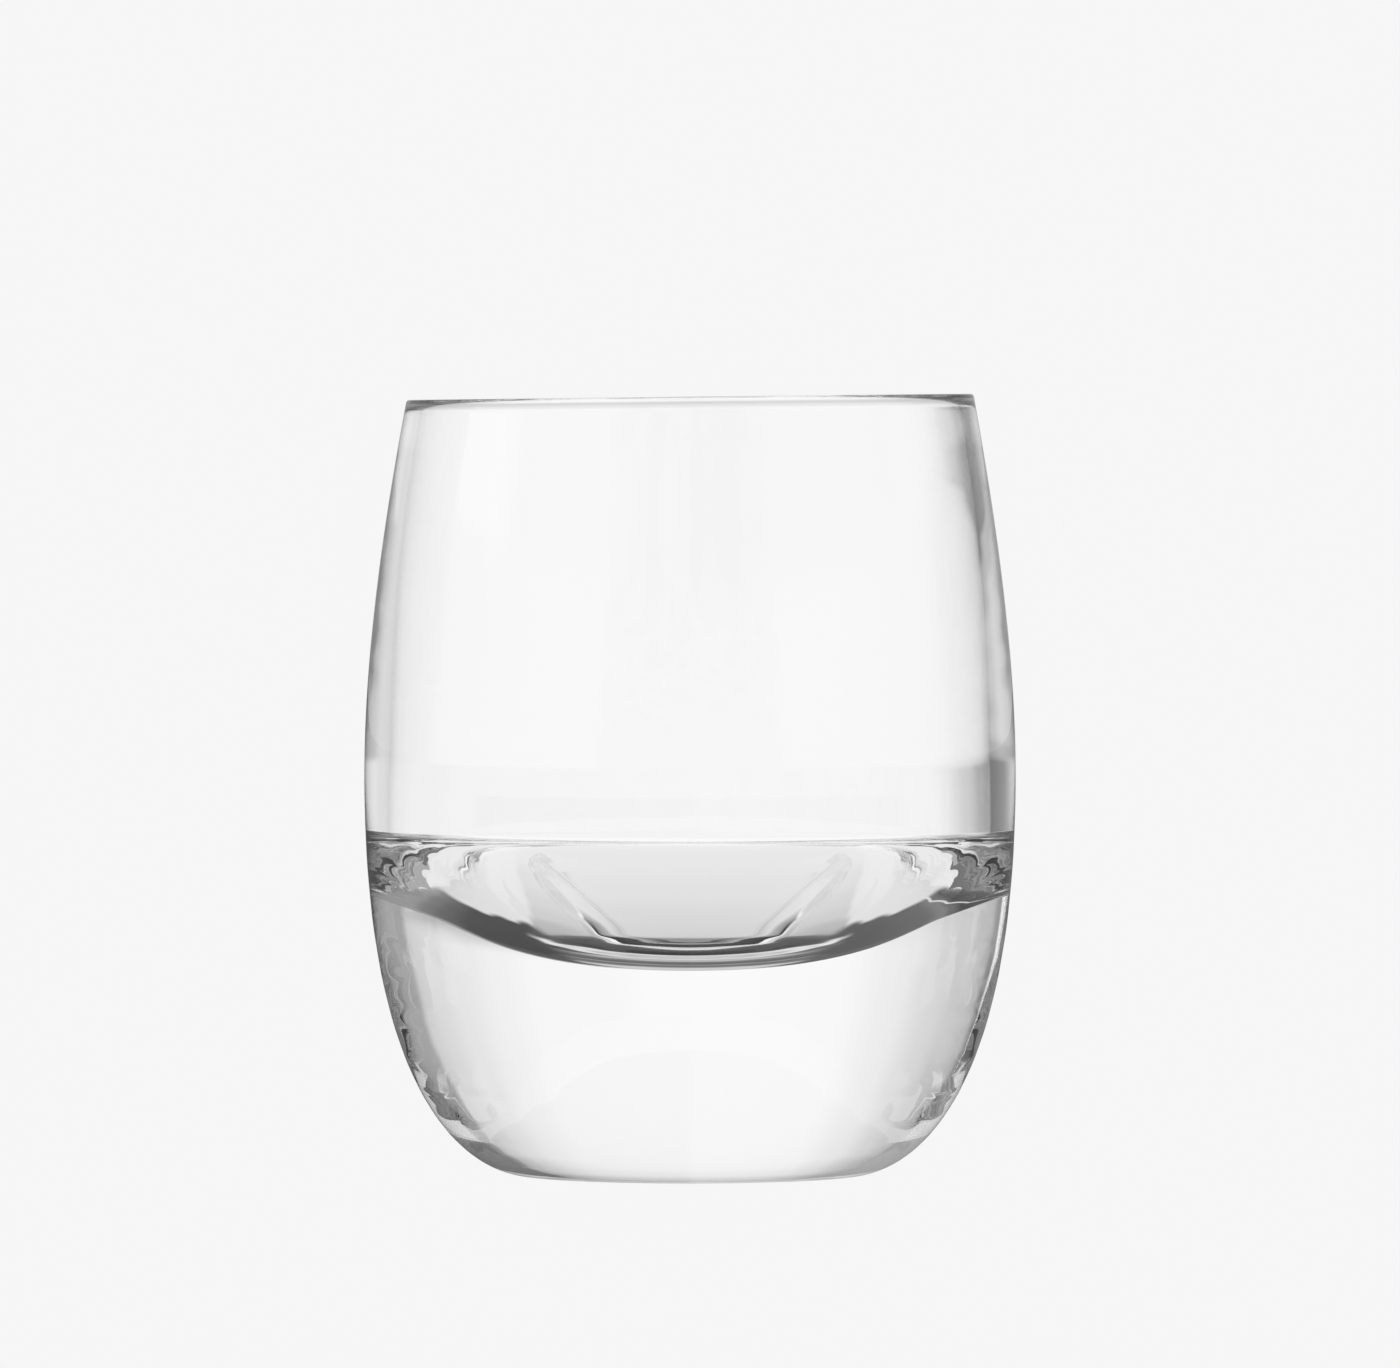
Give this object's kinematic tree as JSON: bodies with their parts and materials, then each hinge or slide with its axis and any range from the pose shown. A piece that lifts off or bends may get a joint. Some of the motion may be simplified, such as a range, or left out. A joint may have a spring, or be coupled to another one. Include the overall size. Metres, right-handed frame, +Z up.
{
  "type": "whiskey tumbler",
  "caption": "Clear glass whiskey tumbler with a rounded belly, inward-leaning sides, a deep round bowl and a thick solid base.",
  "frame": {"origin": "centre of the foot's flat face, on the plane of the table", "axes": "+Z up along the glass's axis of revolution, from foot to rim; X and Y are arbitrary because the glass is round"},
  "size_m": [0.0796, 0.0796, 0.095],
  "materials": {
    "glass": "clear, colourless, fire-polished"
  },
  "bodies": {
    "root": {"tumbler_glass": "glass"}
  },
  "joints": []
}
